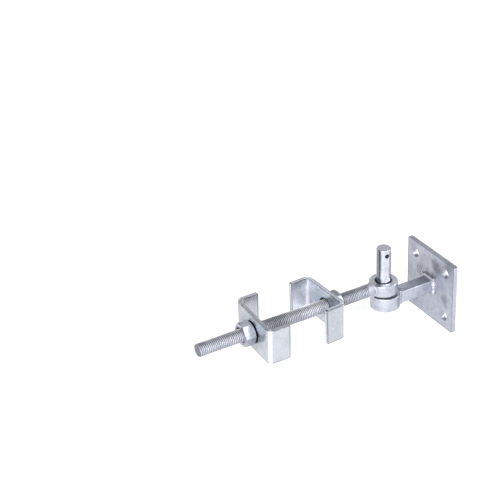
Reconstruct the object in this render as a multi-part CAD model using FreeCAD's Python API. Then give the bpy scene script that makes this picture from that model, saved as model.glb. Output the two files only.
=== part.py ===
# Adjustable bottom gate hinge: an eye bolt with two clamp brackets, hung on a hook plate.
# Millimetres. X is the plate normal and the rod lies along -X, Z is up along the pin.
# The origin is the centre of the fixing plate's back face.
import math
import os

import FreeCAD
import Part

# fixing plate
PLATE_SIZE = 101.6
PLATE_THICKNESS = 6.0
PLATE_CORNER_RADIUS = 2.0
PLATE_EDGE_BREAK = 0.4
BOLT_HOLE_DIAMETER = 14.0
BOLT_HOLE_SPACING = 66.0

# square arm between the plate and the base ring
ARM_SIZE = 18.0
ARM_CORNER_RADIUS = 1.5
ARM_AXIS_Z = 1.9

# hinge pin and the ring that carries it
PIN_AXIS_X = -81.5
PIN_DIAMETER = 19.0
PIN_TOP_Z = 81.4
PIN_TOP_CHAMFER = 0.8
SPLIT_PIN_HOLE_DIAMETER = 6.0
SPLIT_PIN_HOLE_Z = 73.2
SPLIT_PIN_HOLE_TURN = 6.0
BASE_RING_DIAMETER = 39.8
BASE_RING_HEIGHT = 19.5
BASE_RING_TOP_Z = 12.8
BASE_RING_OFFSET = 2.8
BASE_RING_EDGE = 0.9

# eye bolt
EYE_DIAMETER = 37.8
EYE_BORE = 22.3
EYE_HEIGHT = 16.2
EYE_EDGE = 0.9
EYE_BORE_EDGE = 0.5
EYE_AXIS_Z = 24.4
ROD_DIAMETER = 17.6
ROD_END_FROM_PIN = 276.3
ROD_END_CHAMFER = 1.1

# clamp brackets bent from flat bar
BAR_WIDTH = 50.0
BAR_THICKNESS = 5.0
BAR_END_RADIUS = 2.0
BRACKET_WIDTH = 85.0
BEND_OUTER_RADIUS = 9.5
BRACKET_HOLE_DIAMETER = 20.0
OUTER_WEB_FROM_PIN = 199.0
OUTER_FRONT_FLANGE = 30.8
OUTER_BACK_FLANGE = 31.2
OUTER_BRACKET_ROLL = 2.5
OUTER_BRACKET_SHIFT = -0.8
INNER_WEB_FROM_PIN = 86.4
INNER_FLANGE = 30.9
INNER_BRACKET_DROP = 0.9
INNER_BRACKET_YAW = 3.0

# nuts
NUT_ACROSS_FLATS = 28.0
NUT_HEIGHT = 15.6
NUT_BORE = 17.8
NUT_MOUTH_DIAMETER = 19.0
NUT_FACE_DIAMETER = 26.6
NUT_CORNER_ANGLE = 30.0
OUTER_NUT_TURN = -8.0
INNER_NUT_TURN = 1.0

# welds and the gaps between loose pieces
PLATE_WELD_LEG = 4.5
PLATE_WELD_CROWN_OUT = 2.5
PLATE_WELD_CROWN_HIGH = 3.2
PLATE_WELD_TOE = 0.3
ARM_WELD_THROAT = 2.6
EYE_WELD_THROAT = 1.6
SEAT_BEAD_DIAMETER = 25.6
SEAT_BEAD_CHAMFER = 1.4
EYE_SEAT_GAP = 0.3
OUTER_NUT_GAP = 1.0
INNER_NUT_GAP = 0.9

# how far a cutting shape runs past what it cuts
CUT_MARGIN = 1.0

X_AXIS = FreeCAD.Vector(1, 0, 0)
Z_AXIS = FreeCAD.Vector(0, 0, 1)
EYE_BOTTOM_Z = EYE_AXIS_Z - EYE_HEIGHT / 2
BASE_RING_X = PIN_AXIS_X + BASE_RING_OFFSET
BASE_RING_BOTTOM_Z = BASE_RING_TOP_Z - BASE_RING_HEIGHT


def upright_cylinder(diameter, centre_x, low_z, high_z):
    base = FreeCAD.Vector(centre_x, 0, low_z)
    return Part.makeCylinder(diameter / 2, high_z - low_z, base, Z_AXIS)


def rod_cylinder(diameter, low_x, high_x, axis_z):
    base = FreeCAD.Vector(low_x, 0, axis_z)
    return Part.makeCylinder(diameter / 2, high_x - low_x, base, X_AXIS)


def square_bar(size, corner_radius, low_x, high_x, axis_z):
    corner = FreeCAD.Vector(low_x, -size / 2, axis_z - size / 2)
    bar = Part.makeBox(high_x - low_x, size, size, corner)
    long_edges = [e for e in bar.Edges if abs(e.tangentAt(0).x) > 0.9]
    return bar.makeFillet(corner_radius, long_edges)


def revolved(points, centre_x):
    corners = [FreeCAD.Vector(centre_x + r, 0, z) for r, z in points]
    face = Part.Face(Part.makePolygon(corners + corners[:1]))
    return face.revolve(FreeCAD.Vector(centre_x, 0, 0), Z_AXIS, 360)


def fixing_plate():
    half = PLATE_SIZE / 2
    corner = FreeCAD.Vector(-PLATE_THICKNESS, -half, -half)
    plate = Part.makeBox(PLATE_THICKNESS, PLATE_SIZE, PLATE_SIZE, corner)
    corners = [e for e in plate.Edges if abs(e.tangentAt(0).x) > 0.9]
    plate = plate.makeFillet(PLATE_CORNER_RADIUS, corners)
    front = [e for e in plate.Edges if e.BoundBox.XMax < -PLATE_THICKNESS + 0.01]
    plate = plate.makeChamfer(PLATE_EDGE_BREAK, front)
    reach = BOLT_HOLE_SPACING / 2
    for y in (-reach, reach):
        for z in (-reach, reach):
            base = FreeCAD.Vector(-PLATE_THICKNESS - CUT_MARGIN, y, z)
            hole = Part.makeCylinder(BOLT_HOLE_DIAMETER / 2, PLATE_THICKNESS + 2 * CUT_MARGIN, base, X_AXIS)
            plate = plate.cut(hole)
    return plate


def base_ring():
    r = BASE_RING_DIAMETER / 2
    e = BASE_RING_EDGE
    low, high = BASE_RING_BOTTOM_Z, BASE_RING_TOP_Z
    outline = [(0, low), (r - e, low), (r, low + e), (r, high - e), (r - e, high), (0, high)]
    ring = revolved(outline, BASE_RING_X)
    return ring.cut(upright_cylinder(PIN_DIAMETER, PIN_AXIS_X, low - CUT_MARGIN, high + CUT_MARGIN))


def hook_arm():
    bar = square_bar(ARM_SIZE, ARM_CORNER_RADIUS, BASE_RING_X, -PLATE_THICKNESS, ARM_AXIS_Z)
    low = BASE_RING_BOTTOM_Z - ARM_SIZE
    return bar.cut(upright_cylinder(BASE_RING_DIAMETER, BASE_RING_X, low, BASE_RING_TOP_Z + CUT_MARGIN))


def hinge_pin():
    r = PIN_DIAMETER / 2
    c = PIN_TOP_CHAMFER
    low = BASE_RING_BOTTOM_Z
    outline = [(0, low), (r, low), (r, PIN_TOP_Z - c), (r - c, PIN_TOP_Z), (0, PIN_TOP_Z)]
    pin = revolved(outline, PIN_AXIS_X)
    middle = FreeCAD.Vector(PIN_AXIS_X, 0, SPLIT_PIN_HOLE_Z)
    turn = math.radians(SPLIT_PIN_HOLE_TURN)
    across = FreeCAD.Vector(math.sin(turn), math.cos(turn), 0)
    base = middle - across * PIN_DIAMETER
    hole = Part.makeCylinder(SPLIT_PIN_HOLE_DIAMETER / 2, 2 * PIN_DIAMETER, base, across)
    return pin.cut(hole)


def pin_seat_bead():
    # weld bead round the foot of the pin, which the eye turns on
    inner = PIN_DIAMETER / 2
    outer = SEAT_BEAD_DIAMETER / 2
    low = BASE_RING_TOP_Z
    high = EYE_BOTTOM_Z - EYE_SEAT_GAP
    c = SEAT_BEAD_CHAMFER
    outline = [(inner, low), (outer, low), (outer, high - c), (outer - c, high), (inner, high)]
    return revolved(outline, PIN_AXIS_X)


def plate_weld():
    # fillet bead on all four sides of the arm where it meets the plate
    half = ARM_SIZE / 2
    near = -PLATE_THICKNESS
    sections = [
        (near, PLATE_WELD_LEG),
        (near - PLATE_WELD_CROWN_OUT, PLATE_WELD_CROWN_HIGH),
        (near - PLATE_WELD_LEG, PLATE_WELD_TOE),
    ]
    loops = []
    for x, grow in sections:
        size = 2 * (half + grow)
        bar = square_bar(size, ARM_CORNER_RADIUS + grow, x, near + CUT_MARGIN, ARM_AXIS_Z)
        end = min(bar.Faces, key=lambda f: f.CenterOfMass.x)
        loops.append(end.OuterWire)
    bead = Part.makeLoft(loops, True, True)
    core = square_bar(ARM_SIZE, ARM_CORNER_RADIUS, near - 2 * PLATE_WELD_LEG, near + CUT_MARGIN, ARM_AXIS_Z)
    return bead.cut(core)


def arm_weld():
    # bead that follows the base ring round the end of the arm
    low = ARM_AXIS_Z - ARM_SIZE / 2
    high = BASE_RING_TOP_Z - BASE_RING_EDGE
    half = ARM_SIZE / 2 + ARM_WELD_THROAT
    r = BASE_RING_DIAMETER / 2
    shell = upright_cylinder(2 * (r + ARM_WELD_THROAT), BASE_RING_X, low, high)
    crown = Part.makeCone(r + ARM_WELD_THROAT + high - low, r, ARM_WELD_THROAT + high - low,
                          FreeCAD.Vector(BASE_RING_X, 0, low - ARM_WELD_THROAT), Z_AXIS)
    window = Part.makeBox(2 * r, 2 * half, high - low, FreeCAD.Vector(BASE_RING_X, -half, low))
    bead = shell.common(crown).common(window)
    bead = bead.cut(upright_cylinder(2 * r, BASE_RING_X, low - CUT_MARGIN, high + CUT_MARGIN))
    bar = square_bar(ARM_SIZE, ARM_CORNER_RADIUS, BASE_RING_X, -PLATE_THICKNESS, ARM_AXIS_Z)
    return bead.cut(bar)


def eye_ring():
    inner = EYE_BORE / 2
    outer = EYE_DIAMETER / 2
    e = EYE_EDGE
    b = EYE_BORE_EDGE
    low = EYE_BOTTOM_Z
    high = low + EYE_HEIGHT
    outline = [
        (inner + b, low), (outer - e, low), (outer, low + e), (outer, high - e),
        (outer - e, high), (inner + b, high), (inner, high - b), (inner, low + b),
    ]
    return revolved(outline, PIN_AXIS_X)


def threaded_rod():
    end_x = PIN_AXIS_X - ROD_END_FROM_PIN
    rod = rod_cylinder(ROD_DIAMETER, end_x, PIN_AXIS_X, EYE_AXIS_Z)
    tip = [e for e in rod.Edges if e.BoundBox.XMax < end_x + 0.01]
    rod = rod.makeChamfer(ROD_END_CHAMFER, tip)
    eye = upright_cylinder(EYE_DIAMETER, PIN_AXIS_X, EYE_AXIS_Z - ROD_DIAMETER, EYE_AXIS_Z + ROD_DIAMETER)
    return rod.cut(eye)


def eye_weld(side):
    # bead on one side of the rod where its end meets the outside of the eye
    high = EYE_AXIS_Z + EYE_HEIGHT / 2 - EYE_EDGE
    low = EYE_AXIS_Z - EYE_HEIGHT / 2 + EYE_EDGE
    start = PIN_AXIS_X - EYE_DIAMETER
    collar = rod_cylinder(ROD_DIAMETER + 2 * EYE_WELD_THROAT, start, PIN_AXIS_X, EYE_AXIS_Z)
    shell = upright_cylinder(EYE_DIAMETER + 2 * EYE_WELD_THROAT, PIN_AXIS_X, low, high)
    bead = collar.common(shell)
    bead = bead.cut(upright_cylinder(EYE_DIAMETER, PIN_AXIS_X, low - CUT_MARGIN, high + CUT_MARGIN))
    bead = bead.cut(rod_cylinder(ROD_DIAMETER, start, PIN_AXIS_X, EYE_AXIS_Z))
    return [s for s in bead.Solids if side * s.CenterOfMass.y > 0][0]


def bent_bar(front_flange, back_flange):
    # U bend in plan with its web's outer face at x = 0 and the flanges along +X
    half = BRACKET_WIDTH / 2
    t = BAR_THICKNESS
    outer = BEND_OUTER_RADIUS
    inner = BEND_OUTER_RADIUS - t
    low = -BAR_WIDTH / 2
    slant = math.sqrt(0.5)

    def at(x, y):
        return FreeCAD.Vector(x, y, low)

    def bend(side, radius, first, last):
        corner_x = outer
        corner_y = side * (half - outer)
        middle = at(corner_x - radius * slant, corner_y + side * radius * slant)
        return Part.Arc(first, middle, last).toShape()

    front = -half
    back = half
    outside = [
        Part.makeLine(at(front_flange, front), at(outer, front)),
        bend(-1, outer, at(outer, front), at(0, front + outer)),
        Part.makeLine(at(0, front + outer), at(0, back - outer)),
        bend(1, outer, at(0, back - outer), at(outer, back)),
        Part.makeLine(at(outer, back), at(back_flange, back)),
    ]
    inside = [
        Part.makeLine(at(back_flange, back), at(back_flange, back - t)),
        Part.makeLine(at(back_flange, back - t), at(outer, back - t)),
        bend(1, inner, at(outer, back - t), at(t, back - outer)),
        Part.makeLine(at(t, back - outer), at(t, front + outer)),
        bend(-1, inner, at(t, front + outer), at(outer, front + t)),
        Part.makeLine(at(outer, front + t), at(front_flange, front + t)),
        Part.makeLine(at(front_flange, front + t), at(front_flange, front)),
    ]
    face = Part.Face(Part.Wire(outside + inside))
    bar = face.extrude(FreeCAD.Vector(0, 0, BAR_WIDTH))
    tips = []
    for e in bar.Edges:
        box = e.BoundBox
        across = box.YLength > t - 0.1 and box.XLength < 0.01 and box.ZLength < 0.01
        if across and abs(box.XMin) > outer:
            tips.append(e)
    bar = bar.makeFillet(BAR_END_RADIUS, tips)
    return bar.cut(rod_cylinder(BRACKET_HOLE_DIAMETER, -CUT_MARGIN, t + CUT_MARGIN, 0))


def outer_bracket():
    bracket = bent_bar(OUTER_FRONT_FLANGE, OUTER_BACK_FLANGE)
    bracket.rotate(FreeCAD.Vector(0, 0, 0), X_AXIS, OUTER_BRACKET_ROLL)
    bracket.translate(FreeCAD.Vector(PIN_AXIS_X - OUTER_WEB_FROM_PIN, OUTER_BRACKET_SHIFT, EYE_AXIS_Z))
    return bracket


def inner_bracket():
    bracket = bent_bar(INNER_FLANGE, INNER_FLANGE)
    bracket.rotate(FreeCAD.Vector(0, 0, 0), Z_AXIS, 180 + INNER_BRACKET_YAW)
    bracket.translate(FreeCAD.Vector(PIN_AXIS_X - INNER_WEB_FROM_PIN, 0, EYE_AXIS_Z - INNER_BRACKET_DROP))
    return bracket


def hex_nut(turn):
    # nut with its low face at x = 0, both faces chamfered at the corners
    corner_radius = NUT_ACROSS_FLATS / math.sqrt(3)
    corners = []
    for i in range(7):
        a = math.radians(turn + 60 * i)
        corners.append(FreeCAD.Vector(0, corner_radius * math.cos(a), corner_radius * math.sin(a)))
    prism = Part.Face(Part.makePolygon(corners)).extrude(FreeCAD.Vector(NUT_HEIGHT, 0, 0))
    flat = NUT_FACE_DIAMETER / 2
    reach = corner_radius + CUT_MARGIN
    drop = (reach - flat) * math.tan(math.radians(NUT_CORNER_ANGLE))
    mouth = NUT_MOUTH_DIAMETER / 2
    bore = NUT_BORE / 2
    lead = mouth - bore
    outline = [
        (bore, lead), (mouth, 0), (flat, 0), (reach, drop), (reach, NUT_HEIGHT - drop),
        (flat, NUT_HEIGHT), (mouth, NUT_HEIGHT), (bore, NUT_HEIGHT - lead),
    ]
    blank = revolved(outline, 0)
    blank.rotate(FreeCAD.Vector(0, 0, 0), FreeCAD.Vector(0, 1, 0), 90)
    return prism.common(blank)


def outer_nut():
    nut = hex_nut(OUTER_NUT_TURN)
    seat_x = PIN_AXIS_X - OUTER_WEB_FROM_PIN - OUTER_NUT_GAP
    nut.translate(FreeCAD.Vector(seat_x - NUT_HEIGHT, 0, EYE_AXIS_Z))
    return nut


def inner_nut():
    nut = hex_nut(INNER_NUT_TURN)
    seat_x = PIN_AXIS_X - INNER_WEB_FROM_PIN + INNER_NUT_GAP
    nut.translate(FreeCAD.Vector(seat_x, 0, EYE_AXIS_Z))
    return nut


PIECES = {
    "fixing_plate": fixing_plate,
    "plate_weld": plate_weld,
    "hook_arm": hook_arm,
    "arm_weld": arm_weld,
    "base_ring": base_ring,
    "hinge_pin": hinge_pin,
    "pin_seat_bead": pin_seat_bead,
    "eye_ring": eye_ring,
    "eye_weld_front": lambda: eye_weld(-1),
    "eye_weld_back": lambda: eye_weld(1),
    "threaded_rod": threaded_rod,
    "inner_bracket": inner_bracket,
    "inner_nut": inner_nut,
    "outer_bracket": outer_bracket,
    "outer_nut": outer_nut,
}

os.makedirs("parts", exist_ok=True)
for name, make in PIECES.items():
    piece = make()
    if piece.ShapeType == "Compound" and len(piece.Solids) == 1:
        piece = piece.Solids[0]
    piece.exportStep("parts/" + name + ".step")
    box = piece.BoundBox
    size = (round(box.XLength, 1), round(box.YLength, 1), round(box.ZLength, 1))
    print(name, len(piece.Solids), piece.isValid(), size, round(piece.Volume / 1000, 2))
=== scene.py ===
import math
import random

import bmesh
import bpy
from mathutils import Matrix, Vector


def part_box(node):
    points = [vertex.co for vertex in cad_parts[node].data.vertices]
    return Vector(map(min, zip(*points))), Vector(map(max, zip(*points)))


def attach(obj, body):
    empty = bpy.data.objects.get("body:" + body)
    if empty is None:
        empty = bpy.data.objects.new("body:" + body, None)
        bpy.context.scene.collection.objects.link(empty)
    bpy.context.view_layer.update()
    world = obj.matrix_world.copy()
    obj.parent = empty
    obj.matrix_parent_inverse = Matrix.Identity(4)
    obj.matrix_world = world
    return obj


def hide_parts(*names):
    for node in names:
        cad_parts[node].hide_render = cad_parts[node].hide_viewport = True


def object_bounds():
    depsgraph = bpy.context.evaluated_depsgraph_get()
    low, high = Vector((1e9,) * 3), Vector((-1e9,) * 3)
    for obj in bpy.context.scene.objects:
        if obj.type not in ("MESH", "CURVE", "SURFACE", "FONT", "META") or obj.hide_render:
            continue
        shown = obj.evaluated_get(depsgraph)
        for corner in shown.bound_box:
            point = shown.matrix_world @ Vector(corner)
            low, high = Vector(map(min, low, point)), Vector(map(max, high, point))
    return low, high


# galvanised gate hinge: hook plate with its pin, and an eye bolt that carries two clamp brackets
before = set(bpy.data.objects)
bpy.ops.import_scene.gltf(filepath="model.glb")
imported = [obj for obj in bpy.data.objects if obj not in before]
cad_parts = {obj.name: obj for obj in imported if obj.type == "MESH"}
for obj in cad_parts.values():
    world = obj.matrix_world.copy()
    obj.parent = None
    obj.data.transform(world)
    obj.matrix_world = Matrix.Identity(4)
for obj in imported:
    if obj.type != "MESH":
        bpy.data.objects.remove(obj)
cadLow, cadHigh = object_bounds()
mm = 0.001
snapReach = 0.001 * mm  # points nearer than this become one

# places that more than one piece is built from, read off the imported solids
plateLow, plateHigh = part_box("fixing_plate")
armLow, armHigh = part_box("hook_arm")
ringLow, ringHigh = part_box("base_ring")
pinLow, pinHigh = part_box("hinge_pin")
eyeLow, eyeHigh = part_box("eye_ring")
rodLow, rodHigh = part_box("threaded_rod")
pinX = (pinLow.x + pinHigh.x) / 2
ringX = (ringLow.x + ringHigh.x) / 2
ringRadius = (ringHigh.y - ringLow.y) / 2
eyeRadius = (eyeHigh.y - eyeLow.y) / 2
rodZ = (rodLow.z + rodHigh.z) / 2
rodRadius = (rodHigh.z - rodLow.z) / 2
pinRadius = (pinHigh.y - pinLow.y) / 2
ringSides = 128  # for the rings, and for what is coped to them
print("frame loaded:", len(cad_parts), "nodes")


# modelling helpers

def takeUp(piece):
    # makes one piece the only one selected
    if bpy.context.mode != "OBJECT":
        bpy.ops.object.mode_set(mode="OBJECT")
    bpy.ops.object.select_all(action="DESELECT")
    if piece:
        piece.select_set(True)
    bpy.context.view_layer.objects.active = piece


def settle(name, scale=(1, 1, 1)):
    # names the new primitive and puts its place and stretch into its mesh
    piece = bpy.context.object
    piece.name = name
    piece.data.name = name
    piece.scale = scale
    bpy.ops.object.transform_apply(location=True, rotation=True, scale=True)
    return piece


def addBlock(name, low, high):
    takeUp(None)
    bpy.ops.mesh.primitive_cube_add(size=1, location=(low + high) / 2)
    return settle(name, high - low)


def addRound(name, radius, start, end, sides=96):
    takeUp(None)
    along = Vector(end) - Vector(start)
    bpy.ops.mesh.primitive_cylinder_add(
        vertices=sides, radius=radius, depth=along.length, location=(Vector(start) + Vector(end)) / 2,
        rotation=along.to_track_quat("Z", "Y").to_euler())
    return settle(name)


def openParts(piece, kind, test):
    # opens a piece in edit mode with the parts that pass the test selected
    takeUp(piece)
    bpy.ops.object.mode_set(mode="EDIT")
    bpy.ops.mesh.select_mode(type=kind)
    bpy.ops.mesh.select_all(action="DESELECT")
    mesh = bmesh.from_edit_mesh(piece.data)
    for part in {"VERT": mesh.verts, "EDGE": mesh.edges, "FACE": mesh.faces}[kind]:
        if test(part):
            part.select_set(True)
    bmesh.update_edit_mesh(piece.data)


def closeParts():
    bpy.ops.object.mode_set(mode="OBJECT")


def roundParts(piece, kind, test, radius, steps):
    # rounds the edges, or a face's rim, that pass the test
    openParts(piece, kind, test)
    bpy.ops.mesh.bevel(offset=radius * mm, segments=steps, affect="EDGES")
    closeParts()


def edgeRuns(edge, axis):
    # true for an edge that runs along axis 0, 1 or 2
    along = edge.verts[1].co - edge.verts[0].co
    return abs(along[axis]) > 0.999 * along.length


def finishWith(piece, kind, **settings):
    # adds one modifier and applies it
    takeUp(piece)
    modifier = piece.modifiers.new(kind.lower(), kind)
    for name, value in settings.items():
        setattr(modifier, name, value)
    bpy.ops.object.modifier_apply(modifier=modifier.name)


def combine(piece, tool, operation):
    # cuts, trims or joins with another solid, which is used up
    finishWith(piece, "BOOLEAN", object=tool, operation=operation, solver="EXACT")
    bpy.data.objects.remove(tool)


def breakEdges(piece, width, segments=3, angle=35):
    finishWith(piece, "BEVEL", width=width, segments=segments, limit_method="ANGLE",
               angle_limit=math.radians(angle), miter_outer="MITER_ARC")


def drawProfile(name, points):
    # a chain of edges through the points, made by drawing one vertex along
    takeUp(None)
    bpy.ops.mesh.primitive_plane_add(size=mm, location=points[0])
    piece = settle(name)
    openParts(piece, "VERT", lambda v: True)
    bpy.ops.mesh.merge(type="CENTER")
    for here, there in zip(points, points[1:]):
        bpy.ops.mesh.extrude_vertices_move(TRANSFORM_OT_translate={"value": there - here})
    closeParts()
    return piece


def sealSkin():
    # closes a spun or wound skin: joins the points that meet and turns every face outward
    bpy.ops.mesh.select_all(action="SELECT")
    bpy.ops.mesh.remove_doubles(threshold=snapReach)
    bpy.ops.mesh.normals_make_consistent(inside=False)
    closeParts()


def dress(piece, body, nodes, finish, smoothAngle=38):
    # shading, finish and place in the hinge
    takeUp(piece)
    bpy.ops.object.shade_smooth_by_angle(angle=math.radians(smoothAngle))
    finishWith(piece, "WEIGHTED_NORMAL", keep_sharp=True, weight=50)
    piece.data.materials.clear()
    piece.data.materials.append(finish)
    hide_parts(*nodes)
    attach(piece, body)
    print("piece done:", piece.name, len(piece.data.polygons), "faces")


# material helpers

# for all the zinc coats; mixed noise keeps near its middle, so the tones lie close together,
# and the places of the dark edge line are millimetres in from the cut edge
coat = {
    "lowTone": 0.36, "middleTone": 0.5, "highTone": 0.64, "spangleWander": 0.6, "frayScale": 140.0,
    "spotCore": 0.15, "lineFull": 0.9, "lineFade": 0.3, "lineRim": 0.02,
}
# detail, roughness and distortion of each noise
coatNoise = {"patch": (4.0, 0.55, 0.5), "spangle": (2.0, 0.5, 0.0), "grain": (2.0, 0.5, 0.0),
             "run": (3.0, 0.5, 0.0), "lump": (2.0, 0.5, 0.0)}


def hexColour(code):
    # sRGB hex to the linear numbers that a shader takes
    parts = [int(code[i:i + 2], 16) / 255 for i in (1, 3, 5)]
    return [c / 12.92 if c <= 0.04045 else ((c + 0.055) / 1.055) ** 2.4 for c in parts] + [1.0]


def addNode(material, kind, settings=None, links=None):
    # adds one node, gives it its settings by name, and joins what comes in
    node = material.node_tree.nodes.new("ShaderNode" + kind)
    for name, value in (settings or {}).items():
        if name == "stops":
            ramp = node.color_ramp
            ramp.elements.remove(ramp.elements[1])
            ramp.elements[0].position, ramp.elements[0].color = value[0]
            for place, colour in value[1:]:
                ramp.elements.new(place).color = colour
        elif isinstance(name, int) or name in node.inputs:
            node.inputs[name].default_value = value
        else:
            setattr(node, name, value)
    for name, source in (links or {}).items():
        material.node_tree.links.new(source, node.inputs[name])
    return node


def zincFinish(name, look, tint=None):
    # every zinc coat: cloudy patches, spangle, the streaks in which the melt ran off, fine grain,
    # and a roughness that follows them; sizes are in millimetres
    # spangle and grain are drawn coarser than the real ones, which are finer than a pixel here
    material = bpy.data.materials.new(name)
    material.use_nodes = True
    material.node_tree.nodes.clear()
    place = addNode(material, "TexCoord").outputs["Object"]
    drawn = addNode(material, "VectorMath", {
        "operation": "MULTIPLY", 1: look["runStretch"]}, {0: place}).outputs[0]
    noise = {}
    for part, (detail, roughness, distortion) in coatNoise.items():
        noise[part] = addNode(material, "TexNoise", {
            "Scale": 1000 / look[part + "Size"], "Detail": detail, "Roughness": roughness,
            "Distortion": distortion}, {"Vector": drawn if part == "run" else place}).outputs
    shifted = addNode(material, "VectorMath", {
        "operation": "MULTIPLY_ADD", 1: (coat["spangleWander"] * look["spangleSize"] * mm,) * 3},
        {0: noise["spangle"]["Color"], 2: place}).outputs[0]
    cells = addNode(material, "TexVoronoi", {
        "Scale": 1000 / look["spangleSize"]}, {"Vector": shifted}).outputs["Color"]
    spangle = addNode(material, "SeparateColor", {}, {"Color": cells}).outputs["Red"]
    patchShare = 1 - look["grainShare"] - look["spangleShare"] - look["runShare"]
    tone = None
    for source, share in ((noise["patch"]["Fac"], patchShare), (spangle, look["spangleShare"]),
                          (noise["grain"]["Fac"], look["grainShare"]),
                          (noise["run"]["Fac"], look["runShare"])):
        tone = addNode(material, "Math", {"operation": "MULTIPLY_ADD", 1: share, 2: 0.0},
                       {0: source, 2: tone} if tone else {0: source}).outputs[0]
    stops = [(coat["lowTone"], hexColour(look["dark"])), (coat["middleTone"], hexColour(look["middle"])),
             (coat["highTone"], hexColour(look["pale"]))]
    colour = addNode(material, "ValToRGB", {"stops": stops}, {"Fac": tone}).outputs["Color"]
    if tint:
        colour = tint(material, place, colour)
    rough = addNode(material, "MapRange", {
        "From Min": coat["lowTone"], "From Max": coat["highTone"], "To Min": look["roughDark"],
        "To Max": look["roughPale"]}, {"Value": tone}).outputs["Result"]
    normal = None
    for part in ("lump", "grain"):
        links = {"Height": noise[part]["Fac"]}
        if normal:
            links["Normal"] = normal
        normal = addNode(material, "Bump", {"Distance": look[part + "Height"] * mm}, links).outputs["Normal"]
    shader = addNode(material, "BsdfPrincipled", {"Metallic": look["metallic"]}, {
        "Base Color": colour, "Roughness": rough, "Normal": normal}).outputs["BSDF"]
    addNode(material, "OutputMaterial", {}, {"Surface": shader})
    return material


def softStep(material, value, start, end):
    # 0 before the start and 1 after the end, in millimetres, or the other way round
    low, high = min(start, end) * mm, max(start, end) * mm
    before, after = (0.0, 1.0) if start < end else (1.0, 0.0)
    return addNode(material, "MapRange", {
        "interpolation_type": "SMOOTHSTEP", "From Min": low, "From Max": high, "To Min": before,
        "To Max": after}, {"Value": value}).outputs["Result"]


def coverWith(material, colour, share, code, strength=1.0):
    # lays another colour over this one, as far as the share reaches and as thick as the strength
    cover = addNode(material, "Math", {"operation": "MULTIPLY", 1: strength}, {0: share}).outputs[0]
    return addNode(material, "Mix", {"data_type": "RGBA", 7: hexColour(code)},
                   {0: cover, 6: colour}).outputs[2]


def blendSpots(material, place, colour, spots, fray):
    # soft patches, each with its place, reach, strength and colour; noise frays their outlines
    wander = addNode(material, "TexNoise", {"Scale": coat["frayScale"], "Detail": 3.0}, {"Vector": place})
    shifted = addNode(material, "VectorMath", {"operation": "MULTIPLY_ADD", 1: (fray * mm,) * 3},
                      {0: wander.outputs["Color"], 2: place}).outputs[0]
    for spot, reach, strength, code in spots:
        centre = [(c + fray / 2) * mm for c in spot]
        away = addNode(material, "VectorMath", {
            "operation": "DISTANCE", 1: centre}, {0: shifted}).outputs["Value"]
        share = softStep(material, away, reach, coat["spotCore"] * reach)
        colour = coverWith(material, colour, share, code, strength)
    return colour


def fromAxis(material, place, height):
    # the way out from a line along X at this height, and how far that is
    out = addNode(material, "VectorMath", {"operation": "MULTIPLY_ADD", 1: (0, 1, 1), 2: (0, 0, -height)},
                  {0: place}).outputs[0]
    return out, addNode(material, "VectorMath", {"operation": "LENGTH"}, {0: out}).outputs["Value"]


def paintEdgeShade(material, colour, look, sides):
    # a thin dark line painted beside each cut edge, as painted shade for the dark reflection along it; a side
    # is a distance and where it ends
    line = None
    for distance, end in sides:
        start = end - coat["lineFade"] - look["lineWidth"]
        rise = softStep(material, distance, start, end - coat["lineFull"])
        drop = softStep(material, distance, end - coat["lineRim"], end - coat["lineFade"])
        one = addNode(material, "Math", {"operation": "MULTIPLY"}, {0: rise, 1: drop}).outputs[0]
        line = addNode(material, "Math", {
            "operation": "MAXIMUM"}, {0: line, 1: one}).outputs[0] if line else one
    return coverWith(material, colour, line, look["edgeShadeColour"], look["lineShare"])


# camera, floor and lamps

studio = {
    "cameraPlace": (-0.93803, -1.23429, 0.96189),
    "cameraTurn": (59.6113, 2.4114, -29.572),
    "focalLength": 96.6027,
    "sensorWidth": 36,
    "clipStart": 0.05,
    "floorSize": 8.0,
    "floorColour": "#b8b8b8",
    "floorGlow": 0.65,
    "farGlow": 0.9,
    "nearReach": 0.9,
    "farReach": 1.5,
    "skyColour": "#b6babd",
    "skyStrength": 0.2,
}
lamps = {
    "frontHigh": {"place": (-0.5, -1.6, 1.6), "size": (0.8, 0.8), "watts": 21.0},
    "frontLow": {"place": (-0.91, -0.82, 0.16), "size": (0.8, 0.34), "watts": 24.0},
    "left": {"place": (-1.2, -0.81, 0.55), "size": (0.6, 0.4), "watts": 3.5},
    "frontRight": {"place": (0.4, -1.25, 0.75), "size": (0.6, 0.6), "watts": 12.0},
    "right": {"place": (1.3, -0.6, 0.6), "size": (0.8, 0.8), "watts": 22.0},
    "back": {"place": (0.66, 1.36, 0.9), "size": (1.2, 0.8), "watts": 3.3},
    "backLeft": {"place": (-0.75, 0.94, 0.16), "size": (0.8, 0.34), "watts": 7.5},
}


def buildCamera():
    takeUp(None)
    bpy.ops.object.camera_add(location=studio["cameraPlace"],
                              rotation=[math.radians(a) for a in studio["cameraTurn"]])
    camera = bpy.context.object
    camera.name = "photoCamera"
    camera.data.sensor_width = studio["sensorWidth"]
    camera.data.lens = studio["focalLength"]
    camera.data.clip_start = studio["clipStart"]
    bpy.context.scene.camera = camera


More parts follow.
